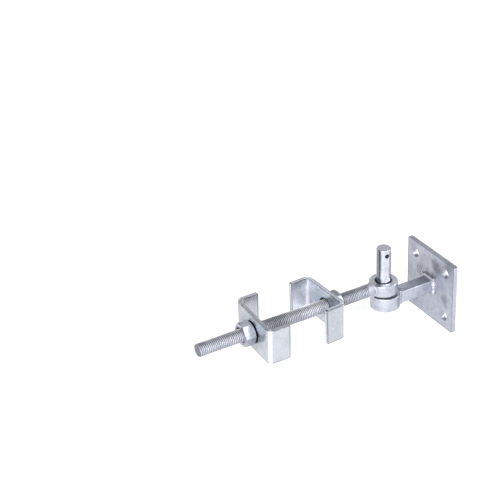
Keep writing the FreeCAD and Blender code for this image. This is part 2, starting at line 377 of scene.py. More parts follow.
def paperWhite():
    # matt white paper: takes the shadows, and reads as clean white to the camera and in the zinc
    material = bpy.data.materials.new("mattWhitePaper")
    material.use_nodes = True
    material.node_tree.nodes.clear()
    rays = addNode(material, "LightPath").outputs
    seen = rays["Is Camera Ray"]
    for kind in ("Is Glossy Ray", "Is Transmission Ray"):
        seen = addNode(material, "Math", {"operation": "MAXIMUM"}, {0: seen, 1: rays[kind]}).outputs[0]
    # the far floor gets less of the lamps, so the paper's own white rises with distance (in metres)
    place = addNode(material, "TexCoord").outputs["Object"]
    away = addNode(material, "VectorMath", {"operation": "LENGTH"}, {0: place}).outputs["Value"]
    level = addNode(material, "MapRange", {
        "From Min": studio["nearReach"], "From Max": studio["farReach"],
        "To Min": studio["floorGlow"], "To Max": studio["farGlow"]}, {"Value": away})
    glow = addNode(material, "Math", {"operation": "MULTIPLY"}, {0: seen, 1: level.outputs["Result"]})
    light = addNode(material, "Emission", {"Color": (1, 1, 1, 1)}, {"Strength": glow.outputs[0]})
    paper = addNode(material, "BsdfDiffuse", {"Color": hexColour(studio["floorColour"])})
    both = addNode(material, "AddShader", {}, {0: paper.outputs[0], 1: light.outputs[0]})
    addNode(material, "OutputMaterial", {}, {"Surface": both.outputs[0]})
    return material


def buildStudio():
    takeUp(None)
    bpy.ops.mesh.primitive_plane_add(size=studio["floorSize"], location=(pinX, 0, cadLow.z))
    floor = settle("studioFloor")
    floor.data.materials.append(paperWhite())
    aim = (cadLow + cadHigh) / 2
    for name, lamp in lamps.items():
        takeUp(None)
        towards = aim - Vector(lamp["place"])
        bpy.ops.object.light_add(type="AREA", location=lamp["place"],
                                 rotation=towards.to_track_quat("-Z", "Y").to_euler())
        light = bpy.context.object
        light.name = name
        light.data.shape = "RECTANGLE"
        light.data.size, light.data.size_y = lamp["size"]
        light.data.energy = lamp["watts"]
    world = bpy.data.worlds.new("studioRoom")
    world.use_nodes = True
    background = world.node_tree.nodes["Background"]
    background.inputs["Color"].default_value = hexColour(studio["skyColour"])
    background.inputs["Strength"].default_value = studio["skyStrength"]
    bpy.context.scene.world = world
    bpy.context.scene.view_settings.view_transform = "Standard"
    print("studio done")


buildCamera()
buildStudio()


# fixing plate: cut from 6 mm flat, four drilled holes, edges knocked off

# zinc on the thick plate reads as a satin blue grey, clouded, with faint streaks where it drained down
plateZincLook = {
    "dark": "#9c9fa9", "middle": "#a7aab5", "pale": "#b0b3be", "patchSize": 14.0, "spangleSize": 4.5,
    "grainSize": 1.6, "grainShare": 0.12, "spangleShare": 0.15, "roughDark": 0.46, "roughPale": 0.38,
    "lumpSize": 6.0, "lumpHeight": 0.06, "grainHeight": 0.01, "metallic": 0.9,
    "runShare": 0.2, "runSize": 6.0, "runStretch": (1.0, 1.0, 0.15),
}
# welding heat dulled the zinc round the arm and toward the top corners
plateSpots = [
    ((-6, -12, 34), 15, 0.8, "#63666d"), ((-6, -31, -8), 9, 0.5, "#63666d"),
    ((-6, -37, -15), 8, 0.35, "#63666d"), ((-6, -38, 46), 13, 0.4, "#63666d"),
    ((-6, 6, 18), 9, 0.4, "#63666d"), ((-6, -6, 16), 7, 0.45, "#63666d"),
    ((-6, 40, 42), 12, 0.25, "#63666d"), ((-6, 14, 33), 14, 0.35, "#7f828b"),
    ((-6, 22, 14), 12, 0.3, "#63666d"),
]
# short slanted strokes left by the wire brush that cleaned the weld, drawn coarser than its real scratches
plateStrokes = {
    "place": (-6, 21, 14), "reach": 14, "core": 0.45, "spacing": 4.0, "lean": 28, "waver": 2.5, "thin": 0.62,
    "thick": 0.86, "skinFull": 2, "skinEnd": 3, "strength": 0.9, "colour": "#5d6067",
}
bandScale = 314  # one band to the millimetre
plateEdgeShade = {"edgeShadeColour": "#5f626a", "lineShare": 0.75, "lineWidth": 1.5}
plateShape = {"cornerRadius": 2.0, "cornerSteps": 5, "edgeRadius": 0.45, "holeDiameter": 13.2,
              "holeSides": 64, "holeSpacing": 66.0, "spotFray": 9}


def scorchAndEdgeShade(material, place, colour):
    colour = blendSpots(material, place, colour, plateSpots, plateShape["spotFray"])
    look = plateStrokes
    leant = addNode(material, "VectorRotate", {
        "rotation_type": "X_AXIS", "Angle": math.radians(look["lean"])}, {"Vector": place}).outputs["Vector"]
    bands = addNode(material, "TexWave", {
        "bands_direction": "Y", "Scale": bandScale / look["spacing"], "Distortion": look["waver"],
        "Detail": 2.0, "Detail Scale": 1.5}, {"Vector": leant}).outputs["Fac"]
    share = addNode(material, "MapRange", {
        "From Min": look["thin"], "From Max": look["thick"]}, {"Value": bands}).outputs["Result"]
    away = addNode(material, "VectorMath", {"operation": "DISTANCE", 1: [c * mm for c in look["place"]]},
                   {0: place}).outputs["Value"]
    near = softStep(material, away, look["reach"], look["core"] * look["reach"])
    depth = addNode(material, "SeparateXYZ", {}, {"Vector": place}).outputs["X"]
    face = plateLow.x / mm
    front = softStep(material, depth, face + look["skinEnd"], face + look["skinFull"])
    for limit in (near, front):
        share = addNode(material, "Math", {"operation": "MULTIPLY"}, {0: share, 1: limit}).outputs[0]
    colour = coverWith(material, colour, share, look["colour"], look["strength"])
    size = addNode(material, "VectorMath", {"operation": "ABSOLUTE"}, {0: place}).outputs[0]
    out = addNode(material, "SeparateXYZ", {}, {"Vector": size}).outputs
    # painted shade: thin dark lines beside the plate's cut edges
    return paintEdgeShade(material, colour, plateEdgeShade, ((out["Y"], plateHigh.y / mm), (out["Z"], plateHigh.z / mm)))


def modelPlate():
    shape = plateShape
    plate = addBlock("fixingPlate", plateLow, plateHigh)
    roundParts(plate, "EDGE", lambda e: edgeRuns(e, 0), shape["cornerRadius"], shape["cornerSteps"])
    reach = shape["holeSpacing"] * mm / 2
    for y in (-reach, reach):
        for z in (-reach, reach):
            drill = addRound("drill", shape["holeDiameter"] * mm / 2, (plateLow.x - mm, y, z), (mm, y, z),
                             shape["holeSides"])
            combine(plate, drill, "DIFFERENCE")
    breakEdges(plate, shape["edgeRadius"] * mm)
    finish = zincFinish("hotDipPlate", plateZincLook, scorchAndEdgeShade)
    dress(plate, "hook_plate", ["fixing_plate"], finish)


modelPlate()


# hook arm: 18 mm square bar with rolled corners, coped to sit against the ring

# on the bar the zinc looks a little paler, with soft streaks along its length
barZincLook = {
    "dark": "#a1a3ae", "middle": "#b0b3be", "pale": "#bbbec9", "patchSize": 12.0, "spangleSize": 5.0,
    "grainSize": 1.4, "grainShare": 0.12, "spangleShare": 0.18, "roughDark": 0.44, "roughPale": 0.36,
    "lumpSize": 5.0, "lumpHeight": 0.06, "grainHeight": 0.01, "metallic": 0.9,
    "runShare": 0.1, "runSize": 7.0, "runStretch": (0.3, 1.0, 1.0),
}
armSpots = [((-14, 2, 10.9), 18, 0.2, "#7c8c95"), ((-36, 4, 10.9), 14, 0.2, "#87959e")]
armShape = {"cornerRadius": 1.5, "cornerSteps": 4, "copeSink": 0.3, "copeReach": 30, "spotFray": 6}


def dullArm(material, place, colour):
    # the top lost its shine toward the weld
    return blendSpots(material, place, colour, armSpots, armShape["spotFray"])


def modelArm():
    arm = addBlock("hookArm", Vector((ringX, armLow.y, armLow.z)), armHigh)
    roundParts(arm, "EDGE", lambda e: edgeRuns(e, 0), armShape["cornerRadius"], armShape["cornerSteps"])
    reach = armShape["copeReach"] * mm
    cope = addRound("cope", ringRadius - armShape["copeSink"] * mm, (ringX, 0, -reach), (ringX, 0, reach),
                    ringSides)
    combine(arm, cope, "DIFFERENCE")
    dress(arm, "hook_plate", ["hook_arm"], zincFinish("hotDipBar", barZincLook, dullArm))


modelArm()


# base ring: thick ring turned with soft rims, bored for the pin

# a turned surface takes a thin smooth coat, which shines more than the bar's and hardly shows its spangle
ringZincLook = {
    "dark": "#a2a5ae", "middle": "#afb2bd", "pale": "#b8bcc6", "patchSize": 10.0, "spangleSize": 4.0,
    "grainSize": 1.2, "grainShare": 0.1, "spangleShare": 0.08, "roughDark": 0.38, "roughPale": 0.31,
    "lumpSize": 6.0, "lumpHeight": 0.04, "grainHeight": 0.006, "metallic": 0.92,
    "runShare": 0.12, "runSize": 6.0, "runStretch": (1.0, 1.0, 0.2),
}
ringShape = {"rimRadius": 0.9, "rimSteps": 4}


def modelBaseRing():
    ring = addRound("baseRing", ringRadius, (ringX, 0, ringLow.z), (ringX, 0, ringHigh.z), ringSides)
    breakEdges(ring, ringShape["rimRadius"] * mm, ringShape["rimSteps"])
    pinBore = addRound("pinBore", pinRadius, (pinX, 0, ringLow.z - mm), (pinX, 0, ringHigh.z + mm))
    combine(ring, pinBore, "DIFFERENCE")
    dress(ring, "hook_plate", ["base_ring"], zincFinish("hotDipRing", ringZincLook))


modelBaseRing()


# hinge pin: turned bar with a cross hole for the split pin, wiped while the zinc was still wet

# wiped zinc is the shiniest here, drawn into fine upright streaks
pinZincLook = {
    "dark": "#b5b7c1", "middle": "#c5c8d2", "pale": "#d2d6e1", "patchSize": 12.0, "spangleSize": 3.0,
    "grainSize": 1.0, "grainShare": 0.08, "spangleShare": 0.05, "roughDark": 0.25, "roughPale": 0.2,
    "lumpSize": 6.0, "lumpHeight": 0.03, "grainHeight": 0.004, "metallic": 0.95,
    "runShare": 0.45, "runSize": 5.0, "runStretch": (1.0, 1.0, 0.04),
}
pinSideShade = {"out": 9.5, "width": 4.2, "fade": 1.8, "strength": 0.8, "colour": "#70757d"}
pinTop = {"start": 0.5, "full": 0.1, "colour": "#a2a2ab"}
pinHoleShade = {"reach": 9.2, "fray": 0.5, "colour": "#141518"}
pinShape = {"topRadius": 0.9, "topSteps": 4, "holeDiameter": 6.0, "holeSides": 48, "holeZ": 73.2,
            "holeTurn": 6.0, "holeEdge": 0.3}


def shadePin(material, place, colour):
    # painted shade: a grey run down the side that faces the gate, standing in for the dark reflection on that
    # side
    flat = addNode(material, "VectorMath", {"operation": "MULTIPLY", 1: (1, 1, 0)}, {0: place}).outputs[0]
    away = addNode(material, "VectorMath", {"operation": "DISTANCE", 1: (pinX - pinSideShade["out"] * mm, 0, 0)},
                   {0: flat}).outputs["Value"]
    share = softStep(material, away, pinSideShade["width"] + pinSideShade["fade"], pinSideShade["width"])
    colour = coverWith(material, colour, share, pinSideShade["colour"], pinSideShade["strength"])
    # the top is coloured a duller grey than the side, and painted shade darkens the inside of the cross hole
    height = addNode(material, "SeparateXYZ", {}, {"Vector": place}).outputs["Z"]
    top = softStep(material, height, pinHigh.z / mm - pinTop["start"], pinHigh.z / mm - pinTop["full"])
    colour = coverWith(material, colour, top, pinTop["colour"])
    inside = ((pinX / mm, 0, pinShape["holeZ"]), pinHoleShade["reach"], 1.0, pinHoleShade["colour"])
    return blendSpots(material, place, colour, [inside], pinHoleShade["fray"])


def modelPin():
    pin = addRound("hingePin", pinRadius, (pinX, 0, pinLow.z), (pinX, 0, pinHigh.z))
    roundParts(pin, "FACE", lambda f: f.normal.z > 0.9, pinShape["topRadius"], pinShape["topSteps"])
    middle = Vector((pinX, 0, pinShape["holeZ"] * mm))
    turn = math.radians(pinShape["holeTurn"])
    across = Vector((math.sin(turn), math.cos(turn), 0)) * 2 * pinRadius
    drill = addRound("drill", pinShape["holeDiameter"] * mm / 2, middle - across, middle + across,
                     pinShape["holeSides"])
    combine(pin, drill, "DIFFERENCE")
    breakEdges(pin, pinShape["holeEdge"] * mm, segments=2, angle=50)
    finish = zincFinish("wipedPin", pinZincLook, shadePin)
    dress(pin, "hook_plate", ["hinge_pin"], finish, smoothAngle=45)


modelPin()


# eye ring: turned ring with soft rims that hangs on the pin, in the same coat as the base ring
eyeShape = {"bore": 22.3, "rimRadius": 0.9, "boreRim": 0.5, "rimSteps": 4}


def modelEye():
    eye = addRound("eyeRing", eyeRadius, (pinX, 0, eyeLow.z), (pinX, 0, eyeHigh.z), ringSides)
    breakEdges(eye, eyeShape["rimRadius"] * mm, eyeShape["rimSteps"])
    bore = addRound("bore", eyeShape["bore"] * mm / 2, (pinX, 0, eyeLow.z - mm), (pinX, 0, eyeHigh.z + mm),
                    ringSides)
    combine(eye, bore, "DIFFERENCE")
    breakEdges(eye, eyeShape["boreRim"] * mm, segments=3, angle=60)
    dress(eye, "eye_bolt", ["eye_ring"], bpy.data.materials["hotDipRing"])


modelEye()


# threaded rod: rolled thread, its roots part filled by the zinc, running out into a plain neck at the eye

# zinc lies thick and dull in a thread, so the rod looks satin with only its worn crests catching light
rodZincLook = {
    "dark": "#a5a7b2", "middle": "#b3b4be", "pale": "#bfc2cc", "patchSize": 14.0, "spangleSize": 4.0,
    "grainSize": 1.2, "grainShare": 0.1, "spangleShare": 0.05, "roughDark": 0.7, "roughPale": 0.62,
    "lumpSize": 5.0, "lumpHeight": 0.02, "grainHeight": 0.004, "metallic": 0.85,
    "runShare": 0.1, "runSize": 5.0, "runStretch": (0.2, 1.0, 1.0),
}
thread = {
    "pitch": 2.5, "turnSteps": 40, "spareTurns": 2, "nutClearance": 0.14,
    # place along the pitch and radius, from root to root over one rounded crest
    "profile": [(0, 7.7), (0.3, 7.75), (0.6, 8.0), (0.95, 8.55), (1.1, 8.75), (1.25, 8.8),
                (1.4, 8.75), (1.55, 8.55), (1.9, 8.0), (2.2, 7.75), (2.5, 7.7)],
}
# thread and neck are made longer and wider than they end up, and trimmed
rodShape = {
    "runOutX": -106.5, "runOutLength": 3.4, "runOutRoot": 7.55, "neckRadius": 8.75, "tipChamfer": 1.2,
    "blankRoom": 0.4, "blankPast": 5, "neckShort": 10, "copeSink": 0.35, "copeTop": 50, "spotFray": 5,
}
# the knurl-like dots are painted highlights and shade for the crests' glints, drawn coarser than the real
# ones, so that they show
threadShade = {"rootDirtAndShadeColour": "#70727a", "rootReach": 7.85, "crestReach": 8.65, "dotSpacing": 3.6,
               "dotsRound": 17, "dotContrast": 0.15}
# painted light brightens the top of the stretch between the brackets, which they shade; painted shade tones
# down the bright neck at the eye; and the tip is coloured darker
rodLightAndShade = [
    ((-258, 6, 38), 26, 0.95, "#f4f5f8"), ((-230, 6, 38), 28, 0.95, "#f4f5f8"),
    ((-200, 6, 38), 26, 0.95, "#f4f5f8"), ((-182, 6, 38), 24, 0.7, "#f4f5f8"),
    ((-103, -8, 26), 9, 0.65, "#85878f"), ((-357, 0, 26), 11, 0.7, "#6a6c74"),
]
rodAxis = Vector((0, 0, rodZ))


def shadeRoots(material, place, colour):
    # the roots are darker, partly where zinc pools and traps dirt and partly as painted shade in the grooves;
    # the crests stay bright
    offAxis, radius = fromAxis(material, place, rodZ)
    crest = addNode(material, "MapRange", {
        "From Min": threadShade["rootReach"] * mm, "From Max": threadShade["crestReach"] * mm},
        {"Value": radius}).outputs["Result"]
    # painted light and shade from the rod's spots
    paintedSpots = blendSpots(material, place, colour, rodLightAndShade, rodShape["spotFray"])
    mix = addNode(material, "Mix", {"data_type": "RGBA", 6: hexColour(threadShade["rootDirtAndShadeColour"])},
                  {0: crest, 7: paintedSpots}).outputs[2]
    out = addNode(material, "SeparateXYZ", {}, {"Vector": offAxis}).outputs
    along = addNode(material, "SeparateXYZ", {}, {"Vector": place}).outputs["X"]
    turn = addNode(material, "Math", {"operation": "ARCTAN2"}, {0: out["Y"], 1: out["Z"]}).outputs[0]
    # painted highlights and shade in a fine pattern of dots over the thread
    wave = None
    for source, rate in ((along, 2 * math.pi / (threadShade["dotSpacing"] * mm)),
                         (turn, threadShade["dotsRound"])):
        angle = addNode(material, "Math", {"operation": "MULTIPLY", 1: rate}, {0: source}).outputs[0]
        one = addNode(material, "Math", {"operation": "SINE"}, {0: angle}).outputs[0]
        wave = addNode(material, "Math", {
            "operation": "MULTIPLY"}, {0: wave, 1: one}).outputs[0] if wave else one
    dots = addNode(material, "Math", {"operation": "MULTIPLY_ADD", 1: threadShade["dotContrast"], 2: 1.0},
                   {0: wave}).outputs[0]
    return addNode(material, "Mix", {"data_type": "RGBA", "blend_type": "MULTIPLY", 0: 1.0},
                   {6: mix, 7: dots}).outputs[2]


def windThread(name, turnsBefore, turns, grow):
    # a screw thread on the rod's axis and in the rod's own phase, longer or shorter by whole turns
    line = drawProfile(name, [Vector((x * mm, 0, (r + grow) * mm)) for x, r in thread["profile"]])
    pitch = thread["pitch"] * mm
    finishWith(line, "SCREW", axis="X", angle=2 * math.pi, screw_offset=pitch, iterations=turns,
               steps=thread["turnSteps"], render_steps=thread["turnSteps"])
    line.location = (rodLow.x + turnsBefore * pitch, 0, rodZ)
    bpy.ops.object.transform_apply(location=True)
    bpy.ops.object.mode_set(mode="EDIT")
    sealSkin()
    return line


def trimAt(piece, x, keepHigh):
    # square cut across the rod, closed by a flat face
    openParts(piece, "FACE", lambda f: True)
    bpy.ops.mesh.bisect(plane_co=(x, 0, 0), plane_no=(1, 0, 0), use_fill=True, threshold=snapReach,
                        clear_inner=keepHigh, clear_outer=not keepHigh)
    closeParts()


def turnAlongRod(name, points, steps=96):
    # a lathe-turned solid on the rod's axis from points (x, radius)
    ends = [(points[0][0], 0)] + points + [(points[-1][0], 0)]
    piece = drawProfile(name, [Vector((x * mm, 0, rodZ + r * mm)) for x, r in ends])
    bpy.ops.object.mode_set(mode="EDIT")
    bpy.ops.mesh.select_all(action="SELECT")
    bpy.ops.mesh.spin(steps=steps, angle=2 * math.pi, center=rodAxis, axis=(1, 0, 0))
    sealSkin()
    return piece


def modelRod():
    shape = rodShape
    endX = rodLow.x / mm
    runOut = shape["runOutX"]
    turns = math.ceil((runOut - endX) / thread["pitch"]) + thread["spareTurns"] + 1
    rod = windThread("threadedRod", -thread["spareTurns"], turns, 0)
    trimAt(rod, rodLow.x, True)
    trimAt(rod, runOut * mm, False)
    crest = max(radius for x, radius in thread["profile"])
    wide = crest + shape["blankRoom"]
    chamfer = shape["tipChamfer"]
    blank = turnAlongRod("blank", [
        (endX, crest - chamfer), (endX + chamfer + shape["blankRoom"], wide),
        (runOut + shape["blankPast"], wide)])
    combine(rod, blank, "INTERSECT")
    neckEnd = pinX / mm - shape["neckShort"]
    neck = turnAlongRod("neck", [
        (runOut - shape["runOutLength"], shape["runOutRoot"]), (runOut, shape["neckRadius"]),
        (neckEnd, shape["neckRadius"])])
    cope = addRound("cope", eyeRadius - shape["copeSink"] * mm, (pinX, 0, 0),
                    (pinX, 0, shape["copeTop"] * mm), ringSides)
    combine(neck, cope, "DIFFERENCE")
    combine(rod, neck, "UNION")
    finish = zincFinish("spunThread", rodZincLook, shadeRoots)
    dress(rod, "eye_bolt", ["threaded_rod"], finish, smoothAngle=50)


modelRod()


# nuts: hexagons chamfered at both faces, tapped in the rod's own thread

# the nuts came out of the bath a darker, clouded grey, with a soft shine on each flat
nutZincLook = {
    "dark": "#8b8d96", "middle": "#989aa3", "pale": "#a4a6ae", "patchSize": 6.0, "spangleSize": 3.0,
    "grainSize": 1.0, "grainShare": 0.12, "spangleShare": 0.12, "roughDark": 0.4, "roughPale": 0.32,
    "lumpSize": 4.0, "lumpHeight": 0.05, "grainHeight": 0.01, "metallic": 0.92,
    "runShare": 0.08, "runSize": 3.0, "runStretch": (0.4, 1.0, 1.0),
}
nutShape = {
    "acrossFlats": 28.0, "height": 15.6, "faceDiameter": 26.6, "chamferAngle": 30.0, "domeRoom": 1,
    "edgeRadius": 0.35, "mouthDiameter": 22.2, "throatDepth": 2.2, "throatRadius": 9.2,
    "coreDepth": 3.2, "coreRadius": 8, "tapRoom": 2, "turns": {"outer_nut": -8.0, "inner_nut": 1.0},
}
nutMouthShade = {"past": 0.1, "full": 0.7, "colour": "#1f2023"}


def shadeMouth(material, place, colour):
    # painted shadow: the countersink round the rod is coloured near black
    radius = fromAxis(material, place, rodZ)[1]
    mouth = nutShape["mouthDiameter"] / 2
    share = softStep(material, radius, mouth + nutMouthShade["past"], mouth - nutMouthShade["full"])
    return coverWith(material, colour, share, nutMouthShade["colour"])


def modelNutBlank():
    shape = nutShape
    height = shape["height"]
    corner = shape["acrossFlats"] / math.sqrt(3)
    takeUp(None)
    bpy.ops.mesh.primitive_cylinder_add(vertices=6, radius=corner * mm, depth=height * mm,
                                        location=(height * mm / 2, 0, rodZ), rotation=(0, math.pi / 2, 0))
    nut = settle("nutBlank")
    flat = shape["faceDiameter"] / 2
    reach = corner + shape["domeRoom"]
    drop = (reach - flat) * math.tan(math.radians(shape["chamferAngle"]))
    dome = turnAlongRod("dome", [(0, flat), (drop, reach), (height - drop, reach), (height, flat)])
    combine(nut, dome, "INTERSECT")
    breakEdges(nut, shape["edgeRadius"] * mm, segments=3, angle=40)
    mouth = shape["mouthDiameter"] / 2
    flare = (mouth - shape["throatRadius"]) / shape["throatDepth"]
    for x, inward in ((0, 1), (height, -1)):
        # the cutter has no ring in the plane of the nut's face, where the cut came out by chance
        sink = turnAlongRod("sink", [
            (x - inward, mouth + flare), (x + shape["throatDepth"] * inward, shape["throatRadius"]),
            (x + shape["coreDepth"] * inward, shape["coreRadius"])])
        combine(nut, sink, "DIFFERENCE")
    return nut


def modelNuts():
    blank = modelNutBlank()
    finish = zincFinish("hotDipNut", nutZincLook, shadeMouth)
    pitch = thread["pitch"] * mm
    spare = thread["spareTurns"]
    room = nutShape["tapRoom"] * mm
    for node, name in (("outer_nut", "outerNut"), ("inner_nut", "innerNut")):
        takeUp(blank)
        bpy.ops.object.duplicate(linked=False)
        nut = bpy.context.object
        nut.name = name
        nut.data.name = name
        low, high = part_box(node)
        bpy.ops.object.mode_set(mode="EDIT")
        bpy.ops.mesh.select_all(action="SELECT")
        bpy.ops.transform.rotate(value=-math.radians(nutShape["turns"][node]), orient_axis="X",
                                 center_override=rodAxis)
        bpy.ops.transform.translate(value=(low.x, 0, 0))
        closeParts()
        before = math.floor((low.x - rodLow.x) / pitch) - spare
        turns = math.ceil((high.x - low.x) / pitch) + 2 * spare
        tap = windThread("tap", before, turns, thread["nutClearance"])
        trimAt(tap, low.x - room, True)
        trimAt(tap, high.x + room, False)
        combine(nut, tap, "DIFFERENCE")
        dress(nut, node, [node], finish, smoothAngle=30)
    bpy.data.objects.remove(blank)


modelNuts()


# clamp brackets: 50 x 5 mm flat bar bent to a U, drilled for the rod

# flat bar takes a bright smooth coat, with long drain streaks down its height
bracketZincLook = {
    "dark": "#c3c6cf", "middle": "#ccd0d9", "pale": "#d3d7e1", "patchSize": 20.0, "spangleSize": 3.5,
    "grainSize": 1.2, "grainShare": 0.05, "spangleShare": 0.07, "roughDark": 0.3, "roughPale": 0.24,
    "lumpSize": 12.0, "lumpHeight": 0.04, "grainHeight": 0.004, "metallic": 0.92,
    "runShare": 0.24, "runSize": 5.0, "runStretch": (1.0, 1.0, 0.12),
}
# in the spots, the teal ones are painted shade on the webs beside the nuts and at the top of the inner back
# flange, the pale one low on the outer web is painted light, and the olive ones are stains
brackets = {
    "outerBracket": {
        "node": "outer_bracket", "body": "outer_clamp", "webX": -280.5, "facing": 1, "frontFlange": 30.8,
        "backFlange": 31.2, "roll": 2.5, "yaw": 0.0, "shiftY": -0.8, "drop": 0.0, "pocketLight": 0.74,
        "outerShade": 0.74, "spots": [
            ((-280.5, -24, 36), 17, 0.45, "#8799a3"), ((-280.5, 20, 20), 14, 0.3, "#8f9ea8"),
            ((-279, 34, 49), 5, 0.5, "#8a8468"), ((-279, 24, 49), 3.5, 0.4, "#8f8a70"),
            ((-280.5, 30, 44), 5, 0.25, "#8f8c78"), ((-280.5, -20, 5), 10, 0.3, "#c9ccd6")]},
    "innerBracket": {
        "node": "inner_bracket", "body": "inner_clamp", "webX": -167.9, "facing": -1, "frontFlange": 30.9,
        "backFlange": 30.9, "roll": 0.0, "yaw": 3.0, "shiftY": 0.0, "drop": 0.9, "pocketLight": 1.0,
        "outerShade": 0.7, "spots": [
            ((-172.9, 30, 14), 7, 0.35, "#a39d84"), ((-186, 37.5, 48), 13, 0.35, "#8c9ba8"),
            ((-172.9, -24, 43), 14, 0.3, "#6f7f88"), ((-172.9, 24, 30), 6, 0.35, "#d2d6de")]},
}
# painted shadow in a near-black ring under each nut with a teal band of painted shade round it, painted
# shadow on the hole's wall and rim, a painted highlight down each bent corner, and thin dark lines painted
# beside the cut edges
barCoat = {
    "nutShadowReach": 15.2, "nutShadowFade": 0.8, "nutShadowSkin": (1.2, 0.6), "nutShadowColour": "#1d1f22",
    "haloShadeStart": 14.0, "haloShadeEnd": 32.0, "haloShadeShare": 0.45, "haloShadeColour": "#8798a2",
    "edgeShadeColour": "#5b5f68", "lineShare": 0.85, "lineWidth": 1.4,
    "bendPlace": (2.9, 39.9, 0), "bendReach": 2.4, "bendFade": 0.6, "bendShare": 0.8, "bendColour": "#f4f5f8",
    "gapPlace": (0, -0.8, 0), "gapReach": 12.4, "gapFade": 0.3, "gapShare": 0.92, "gapColour": "#1f2125",
    "sideFace": (39, 40.5), "webFace": (3.5, 2), "spotFray": 6,
}
barShape = {
    "width": 50.0, "thickness": 5.0, "span": 85.0, "bendRadius": 9.5, "bendSteps": 12, "tipRadius": 2.0,
    "tipSteps": 4, "tipsBeyond": 20, "holeDiameter": 21.6, "holeSides": 64, "drillReach": 20,
    "edgeRadius": 0.5,
}


def roundPatch(material, colour, where, part):
    # a round part of the bar's coat, soft at its rim
    place = [c * mm for c in barCoat[part + "Place"]]
    away = addNode(material, "VectorMath", {"operation": "DISTANCE", 1: place}, {0: where}).outputs["Value"]
    reach = barCoat[part + "Reach"]
    fade = barCoat[part + "Fade"]
    share = softStep(material, away, reach + fade, reach - fade)
    return coverWith(material, colour, share, barCoat[part + "Colour"], barCoat[part + "Share"])


def coatBar(look, centre, lean):
    # the tint of one bracket, worked out in the bar's own directions before it was leant and moved
    halfWidth = barShape["width"] / 2

    def tint(material, place, colour):
        moved = addNode(material, "VectorMath", {"operation": "SUBTRACT", 1: centre}, {0: place}).outputs[0]
        own = addNode(material, "VectorRotate", {
            "rotation_type": "EULER_XYZ", "invert": True, "Rotation": lean}, {"Vector": moved}).outputs[0]
        size = addNode(material, "VectorMath", {"operation": "ABSOLUTE"}, {0: own}).outputs[0]
        x, y, z = addNode(material, "SeparateXYZ", {}, {"Vector": size}).outputs
        ringed, radius = fromAxis(material, own, look["drop"] * mm)
        # painted light and shade: the pocket of the U is coloured brighter than its outer faces
        side = softStep(material, y, *barCoat["sideFace"])
        web = softStep(material, x, *barCoat["webFace"])
        outer = addNode(material, "Math", {"operation": "MAXIMUM"}, {0: side, 1: web}).outputs[0]
        shade = addNode(material, "MapRange", {"To Min": look["pocketLight"], "To Max": look["outerShade"]},
                        {"Value": outer}).outputs["Result"]
        colour = addNode(material, "Mix", {"data_type": "RGBA", "blend_type": "MULTIPLY", 0: 1.0},
                         {6: colour, 7: shade}).outputs[2]
        # painted shade: a teal-grey band on the web round each nut
        haloShade = softStep(material, radius, barCoat["haloShadeEnd"], barCoat["haloShadeStart"])
        colour = coverWith(material, colour, haloShade, barCoat["haloShadeColour"], barCoat["haloShadeShare"])
        colour = blendSpots(material, place, colour, look["spots"], barCoat["spotFray"])
        # painted highlight: a narrow bright strip down the outside of each bent corner
        across = addNode(material, "CombineXYZ", {}, {"X": x, "Y": y}).outputs[0]
        colour = roundPatch(material, colour, across, "bend")
        colour = paintEdgeShade(material, colour, barCoat, ((z, halfWidth), (x, look["frontFlange"])))
        # painted shadow: the hole's wall and a rim round it are coloured near black, for the shade in the gap
        # round the rod
        colour = roundPatch(material, colour, ringed, "gap")
        # painted shadow: a near-black ring on the web's face under each nut, for the shade between nut and
        # web
        skin = softStep(material, x, *barCoat["nutShadowSkin"])
        near = softStep(material, radius, barCoat["nutShadowReach"] + barCoat["nutShadowFade"], barCoat["nutShadowReach"])
        nutShadow = addNode(material, "Math", {"operation": "MULTIPLY"}, {0: skin, 1: near}).outputs[0]
        return coverWith(material, colour, nutShadow, barCoat["nutShadowColour"])

    return tint


def modelBracket(name):
    look = brackets[name]
    shape = barShape
    half = shape["span"] * mm / 2
    near = 0.1 * mm
    takeUp(None)
    bpy.ops.mesh.primitive_plane_add(size=1, rotation=(0, math.pi / 2, 0))
    bar = settle(name, (shape["width"] * mm, 2 * half, 1))
    for y, flange in ((-half, look["frontFlange"]), (half, look["backFlange"])):
        openParts(bar, "EDGE", lambda e: all(abs(v.co.y - y) < near and abs(v.co.x) < near for v in e.verts))
        way = (look["facing"] * flange * mm, 0, 0)
        bpy.ops.mesh.extrude_region_move(TRANSFORM_OT_translate={"value": way})
        closeParts()
    openParts(bar, "EDGE", lambda e: edgeRuns(e, 2) and abs(e.verts[0].co.x) < near)
    bpy.ops.mesh.bevel(offset=shape["bendRadius"] * mm, segments=shape["bendSteps"], affect="EDGES")
    bpy.ops.mesh.select_all(action="SELECT")
    bpy.ops.mesh.normals_make_consistent(inside=False)
    closeParts()
    finishWith(bar, "SOLIDIFY", thickness=shape["thickness"] * mm, offset=-1, use_even_offset=True)
    tips = shape["tipsBeyond"] * mm
    roundParts(bar, "EDGE", lambda e: edgeRuns(e, 1) and abs(e.verts[0].co.x) > tips, shape["tipRadius"],
               shape["tipSteps"])
    reach = shape["drillReach"] * mm
    drop = look["drop"] * mm
    drill = addRound("drill", shape["holeDiameter"] * mm / 2, (-reach, 0, drop), (reach, 0, drop),
                     shape["holeSides"])
    combine(bar, drill, "DIFFERENCE")
    breakEdges(bar, shape["edgeRadius"] * mm, segments=3, angle=50)
    centre = (look["webX"] * mm, look["shiftY"] * mm, rodZ - drop)
    lean = (math.radians(look["roll"]), 0, math.radians(look["yaw"]))
    takeUp(bar)
    bar.rotation_euler = lean
    bar.location = centre
    bpy.ops.object.transform_apply(location=True, rotation=True, scale=True)
    finish = zincFinish(name + "Zinc", bracketZincLook, coatBar(look, centre, lean))
    dress(bar, look["body"], [look["node"]], finish, smoothAngle=30)


def modelBrackets():
    for name in brackets:
        modelBracket(name)


modelBrackets()


# weld beads: each a run of overlapping ripples melted into one skin

